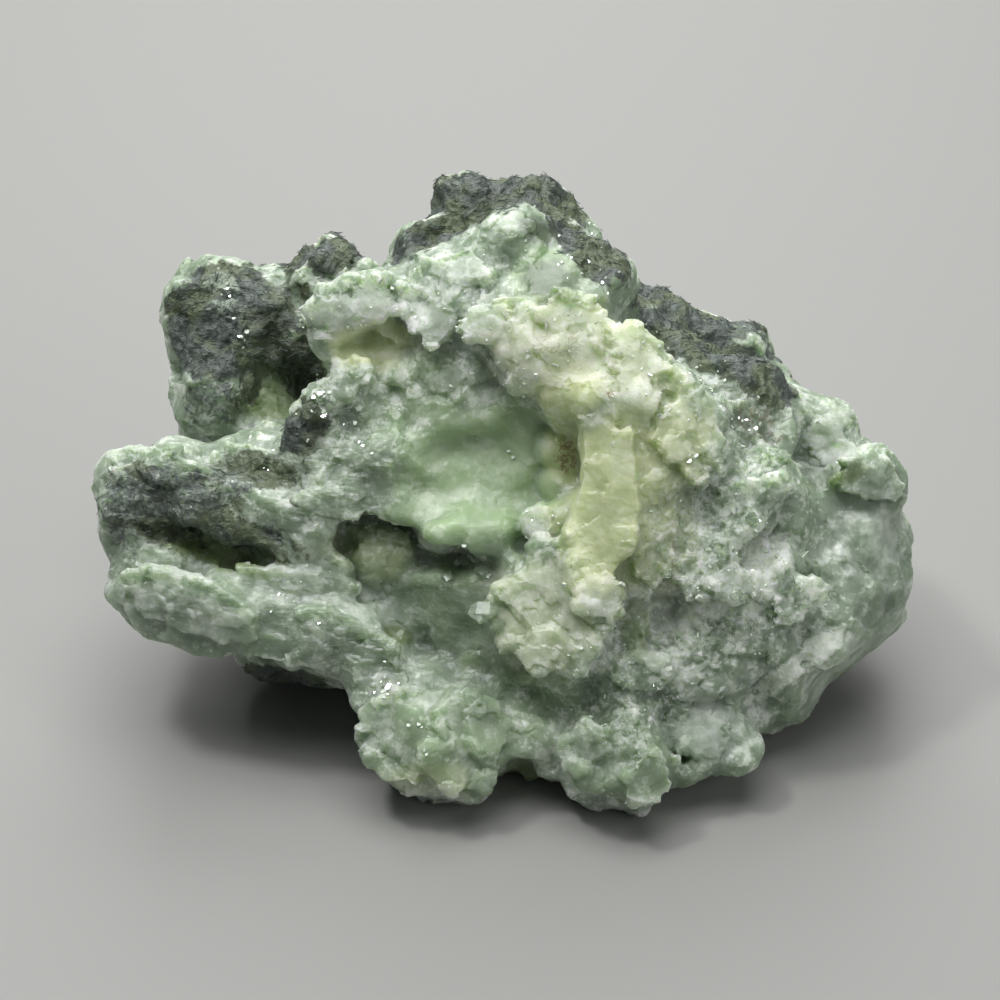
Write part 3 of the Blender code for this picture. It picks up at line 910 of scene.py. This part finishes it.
def prehnite_finish():
    """Waxy, see-into green prehnite with white crust, and dark matted byssolite where it grows, with shade
    painted into recesses and shaded places.
    """
    shader = Shader("prehnite")
    crust, lemon, mint, recess_shade, shade = shader.layers("crust", "lemon", "mint", "recess_shade", "shade")
    slate, sugar, plates, rust = shader.layers("slate", "sugar", "plates", "rust")
    sheet, smooth = shader.layers("sheet", "smooth")
    cloud = shader.grain(3.0, 2)
    haze = shader.grain(1.1, 3, 0.6)
    fine = shader.grain(0.4, 3, 0.65)
    tint = shader.mix(GREY_GREEN_DARK, GREY_GREEN, (cloud * 0.7 + haze * 0.5).step(0.5, 0.72))
    tint = shader.mix(tint, MINT, mint * 0.85)
    tint = shader.mix(tint, LEMON, lemon * (0.5 + haze * 0.6))
    tint = shader.mix(tint, SUGAR_GREY, sugar * (1 - sheet) * fine.step(0.35, 0.6) * 0.6)
    milk = (haze * 0.7 + cloud * 0.4 + fine * 0.15).step(0.58, 0.85)
    flakes = (haze * 0.6 + fine * 0.5 + cloud * 0.2).step(0.68, 0.72) * (1 - smooth * 0.7)
    tint = shader.mix(tint, WHITE_CRUST, (milk * 0.4 + flakes * 0.3) * (1 - smooth * 0.35))
    pale = shader.mix(WHITE_CRUST, CREAM_CRUST, lemon * 0.5)
    white = sheet * (0.2 + crust * crust * 0.55) * (0.5 + haze * 0.8) * (1 - lemon * 0.25)
    sugar_white = (haze * 0.5 + fine * 0.8 + sugar * 0.2).step(0.76, 0.94) * sugar
    tint = shader.mix(tint, pale, white.larger(sugar_white * 0.5))
    streaks = shader.grain(0.3, 2, 0.6, shader.stretched(0.3, 1.5, 1.5))
    tint = shader.mix(tint, WHITE_CRUST, streaks.step(0.5, 0.68) * plates * 0.4)
    # Painted shade: recesses darkened to olive, then the shade layer's places darkened grey.
    tint = shader.mix(tint, RECESS_SHADE_GREEN, recess_shade * 0.8)
    tint = shader.mix(tint, SHADED, shade * 0.7)
    hairs = 1 - (shader.grain(0.9, 2, 0.5, None, 1.2) - 0.5).maths("ABSOLUTE") * 14
    specks = (fine * 0.7 + rust * 0.5).step(0.8, 0.95)
    tint = shader.mix(tint, RUST, (hairs.step(0.3, 0.8).larger(specks) * rust) * 0.8)

    facets = shader.facets(0.45)
    height = facets + fine * 0.3 * (0.3 + sugar.larger(sheet)) + streaks * plates * 0.35
    prehnite = shader.surface(
        {
            "Base Color": tint,
            "Roughness": 0.32 + sheet * 0.2 + fine * 0.2,
            "IOR": 1.62,
            "Subsurface Weight": 0.85,
            "Subsurface Radius": (1.0, 1.25, 0.75),
            "Subsurface Scale": 0.0022,
            "Normal": shader.bump(height * (1 - smooth * 0.6), 0.3),
        }
    )

    mat = shader.grain(0.6, 3, 0.62, shader.stretched(1.5, 0.6, 1.0), 0.5)
    threads = shader.grain(0.14, 2, 0.6, shader.stretched(0.6, 1.7, 1.0))
    dark = shader.mix(SLATE, SLATE_PALE, (mat * 0.7 + threads * 0.4 + haze * 0.3).step(0.62, 0.95))
    dark = shader.mix(dark, SLATE_OLIVE, cloud.step(0.45, 0.6) * 0.75)
    dark = shader.mix(dark, GREY_GREEN, crust.step(0.5, 0.9) * sheet * 0.75)
    # Painted shade on the byssolite, in recesses and shaded places.
    dark = shader.mix(dark, RECESS_SHADE_SLATE, recess_shade.larger(shade) * 0.85)
    byssolite = shader.surface(
        {
            "Base Color": dark,
            "Roughness": 0.42 + fine * 0.3,
            "IOR": 1.6,
            "Normal": shader.bump(mat * 0.6 + threads * 0.4 + facets * 0.3, 0.25),
        }
    )
    share = (slate + (fine - 0.5) * 0.9 + (cloud - 0.5) * 0.6).step(0.3, 0.62)
    mixed = shader.node("ShaderNodeMixShader", {}, {0: share, 1: prehnite, 2: byssolite})
    return shader.finish(mixed)


def crumb_finish():
    """White crumbs of crust."""
    shader = Shader("white_crumbs")
    haze = shader.grain(1.4, 3)
    tint = shader.mix(CRUMB_GREY, CRUMB_WHITE, haze.step(0.35, 0.65))
    return shader.finish(shader.surface({"Base Color": tint, "Roughness": 0.3 + haze * 0.3, "IOR": 1.6}))


def clear_finish():
    """Clear, faintly green crystal."""
    shader = Shader("clear_crystal")
    return shader.finish(
        shader.surface(
            {
                "Base Color": CLEAR_GREEN,
                "Roughness": 0.08,
                "IOR": 1.62,
                "Transmission Weight": 0.85,
            }
        )
    )


def cleavage_finish():
    """Polished cleavage faces."""
    shader = Shader("cleavage_faces")
    haze = shader.grain(0.3, 2)
    tint = shader.mix(CLEAVAGE_GREEN, CLEAVAGE_WHITE, haze)
    return shader.finish(shader.surface({"Base Color": tint, "Roughness": 0.07, "IOR": 1.62}))


def needle_finish():
    """Dark and grey-green hairs of byssolite."""
    shader = Shader("byssolite_needles")
    shade = shader.grain(0.7, 3)
    tint = shader.mix(NEEDLE_DARK, NEEDLE_PALE, shade.step(0.4, 0.7))
    return shader.finish(shader.surface({"Base Color": tint, "Roughness": 0.4, "IOR": 1.62}))


# Small pieces on the skin


class Ground:
    """Picks places on the skin by weight."""

    def __init__(self, skin, layers, seed):
        mesh = skin.data
        mesh.calc_loop_triangles()
        self.points = [vert.co.copy() for vert in mesh.vertices]
        self.triangles = [tuple(triangle.vertices) for triangle in mesh.loop_triangles]
        self.normals = [triangle.normal.copy() for triangle in mesh.loop_triangles]
        self.corners = np.array(self.triangles)
        clear = np.array([self.points[a].z > CRUMB_CLEARANCE for a, _, _ in self.triangles])
        self.areas = np.array([triangle.area for triangle in mesh.loop_triangles]) * clear
        self.layers = layers
        self.rng = random.Random(seed)

    def pick(self, weights, count):
        """count places as (point, normal), by weight for each point of the skin."""
        shares = self.areas * weights[self.corners].mean(axis=1)
        ends = np.cumsum(shares)
        for _ in range(count):
            index = int(np.searchsorted(ends, self.rng.random() * ends[-1]))
            a, b, c = (self.points[corner] for corner in self.triangles[index])
            u, v = self.rng.random(), self.rng.random()
            if u + v > 1:
                u, v = 1 - u, 1 - v
            yield a + (b - a) * u + (c - a) * v, self.normals[index]


def random_turn(rng):
    return Euler([rng.uniform(0, 2 * math.pi) for _ in range(3)]).to_matrix().to_4x4()


def block_stamp(rng):
    """A small block with its corners askew."""
    bm = bmesh.new()
    bmesh.ops.create_cube(bm, size=1)
    sides = [rng.uniform(0.6, 1.3), rng.uniform(0.6, 1.3), rng.uniform(0.35, 0.9)]
    for vert in bm.verts:
        vert.co = Vector([place * side * rng.uniform(0.65, 1.05) for place, side in zip(vert.co, sides)])
    return Stamp(bm)


def needle_stamp():
    bm = bmesh.new()
    bmesh.ops.create_cone(bm, cap_ends=True, segments=3, radius1=0.5, radius2=0.3, depth=1)
    return Stamp(bm)


def scatter_blocks(name, ground, weights, scatter):
    """Small blocks that lie on the skin, joined in one mesh."""
    rng = ground.rng
    blocks = [block_stamp(rng) for _ in range(BLOCK_SHAPES)]
    bm = bmesh.new()
    for point, normal in ground.pick(weights, scatter.count):
        side = min(scatter.size * rng.lognormvariate(0, SIZE_SPREAD), scatter.largest) * MM
        place = Matrix.Translation(point + normal * side * 0.1) @ random_turn(rng) @ Matrix.Scale(side, 4)
        rng.choice(blocks).onto(bm, place)
    return new_piece(name, bm)


def make_crumbs(ground):
    layers = ground.layers
    weights = np.clip(layers["crust"] * 1.2 - 0.15, 0, 1) ** 1.5 + 0.35 * layers["sugar"] ** 2
    weights = weights * (1 - layers["slate"] * 0.8) * (1 - 0.9 * layers["smooth"])
    return scatter_blocks("crust_crumbs", ground, weights, CRUMBS)


def make_clear_grains(ground):
    layers = ground.layers
    weights = layers["sugar"] ** 2 * (1 - layers["sheet"]) * (1 - layers["slate"]) * (1 - layers["smooth"])
    return scatter_blocks("clear_grains", ground, weights, CLEAR_GRAINS)


def facing_glint(point):
    """The direction that a flat must face at that point to throw the small light at the photograph's view."""
    to_eye = (camera_place() - point).normalized()
    to_light = (Vector(GLINT_LIGHT) - point).normalized()
    return (to_eye + to_light).normalized()


def tablet_stamp():
    """A thin crystal tablet, one unit wide, with cut corners."""
    bm = bmesh.new()
    bmesh.ops.create_circle(bm, cap_ends=True, segments=6, radius=0.5)
    raised = bmesh.ops.extrude_face_region(bm, geom=bm.faces[:])["geom"]
    top = verts_of(raised)
    bmesh.ops.translate(bm, vec=(0, 0, 0.3), verts=top)
    bmesh.ops.scale(bm, vec=(0.9, 0.9, 1), verts=top)
    bmesh.ops.recalc_face_normals(bm, faces=bm.faces)
    return Stamp(bm)


def make_cleavage_faces(tree):
    """Bright little tablets of prehnite that catch the small light."""
    rng = random.Random(GLINT_SEED)
    tablet = tablet_stamp()
    bm = bmesh.new()
    for glint in GLINTS:
        for _ in range(glint.count):
            px = glint.pixel[0] + rng.gauss(0, glint.spread)
            py = glint.pixel[1] + rng.gauss(0, glint.spread)
            point, _ = behind_pixel(tree, px, py)
            if point is None:
                continue
            facing = facing_glint(point) + Vector([rng.gauss(0, GLINT_JITTER) for _ in range(3)])
            across = Vector([rng.gauss(0, 1) for _ in range(3)])
            wide = rng.uniform(*glint.size) * MM
            shape = Matrix.Diagonal((wide, wide * rng.uniform(0.5, 1), wide, 1))
            place = Matrix.Translation(point - facing * wide * 0.1) @ turn_to(facing.normalized(), across)
            tablet.onto(bm, place @ shape)
    return new_piece("cleavage_faces", bm)


def make_clear_chips(tree):
    """The few clear crystals that stand on the face."""
    rng = random.Random(CHIP_SEED)
    bm = bmesh.new()
    for chip in CHIPS:
        point, _ = behind_pixel(tree, *chip.pixel)
        half = Vector([chip.size * MM / 2 * rng.uniform(0.75, 1.1) for _ in range(3)])
        corners = []
        for _ in range(CHIP_CORNERS):
            way = Vector([rng.gauss(0, 1) for _ in range(3)]).normalized()
            corners.append(bmesh.ops.create_vert(bm, co=point + way * half)["vert"][0])
        hull = bmesh.ops.convex_hull(bm, input=corners)
        bmesh.ops.delete(bm, geom=verts_of(hull["geom_interior"]), context="VERTS")
    return new_piece("clear_chips", bm)


def make_needles(ground):
    """Matted hairs that lie along the dark ground."""
    rng = ground.rng
    weights = np.clip(ground.layers["slate"] - 0.25, 0, 1)
    needle = needle_stamp()
    bm = bmesh.new()
    for point, normal in ground.pick(weights, NEEDLES):
        flow = Vector([noise.noise(point / MM / 3 + Vector((shift, 0, 0))) for shift in (0, 20, 40)])
        flow += Vector((0.5, 0.1, 0.25)) + Vector([rng.gauss(0, 0.3) for _ in range(3)])
        along = (flow - normal * flow.dot(normal)).normalized() + normal * rng.uniform(-0.1, 0.05)
        thick = rng.uniform(*NEEDLE_THICKNESS) * MM
        shape = Matrix.Diagonal((thick, thick, rng.uniform(*NEEDLE_LENGTH) * MM, 1))
        turn = along.to_track_quat("Z", "Y").to_matrix().to_4x4()
        needle.onto(bm, Matrix.Translation(point + normal * 0.01 * MM) @ turn @ shape)
    return new_piece("byssolite_needles", bm)


# Floor and light


def make_floor():
    bm = bmesh.new()
    bmesh.ops.create_grid(bm, x_segments=1, y_segments=1, size=FLOOR_SIZE)
    floor = new_piece("floor", bm)
    shader = Shader("floor")
    floor.data.materials.append(shader.finish(shader.surface({"Base Color": FLOOR_GREY, "Roughness": 0.6})))


def add_light(light):
    data = bpy.data.lights.new(light.name, "AREA")
    data.size, data.energy = light.size, light.power
    lamp = bpy.data.objects.new(light.name, data)
    lamp.location = light.place
    lamp.rotation_mode = "QUATERNION"
    lamp.rotation_quaternion = (Vector(light.aim) - Vector(light.place)).to_track_quat("-Z", "Y")
    bpy.context.scene.collection.objects.link(lamp)


def light_scene():
    for light in LIGHTS:
        add_light(light)
    world = bpy.data.worlds.new("world")
    world.use_nodes = True
    world.node_tree.nodes["Background"].inputs["Color"].default_value = SKY
    world.node_tree.nodes["Background"].inputs["Strength"].default_value = SKY_STRENGTH
    bpy.context.scene.world = world
    bpy.context.scene.view_settings.view_transform = "Standard"


def main():
    make_camera()
    skin, tree, layers = make_skin()
    finish_piece(skin, prehnite_finish())
    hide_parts(NODE)
    ground = Ground(skin, layers, GROUND_SEED)
    finish_piece(make_crumbs(ground), crumb_finish())
    finish_piece(make_clear_grains(ground), clear_finish())
    finish_piece(make_needles(ground), needle_finish())
    finish_piece(make_cleavage_faces(tree), cleavage_finish())
    finish_piece(make_clear_chips(tree), clear_finish())
    make_floor()
    light_scene()


main()
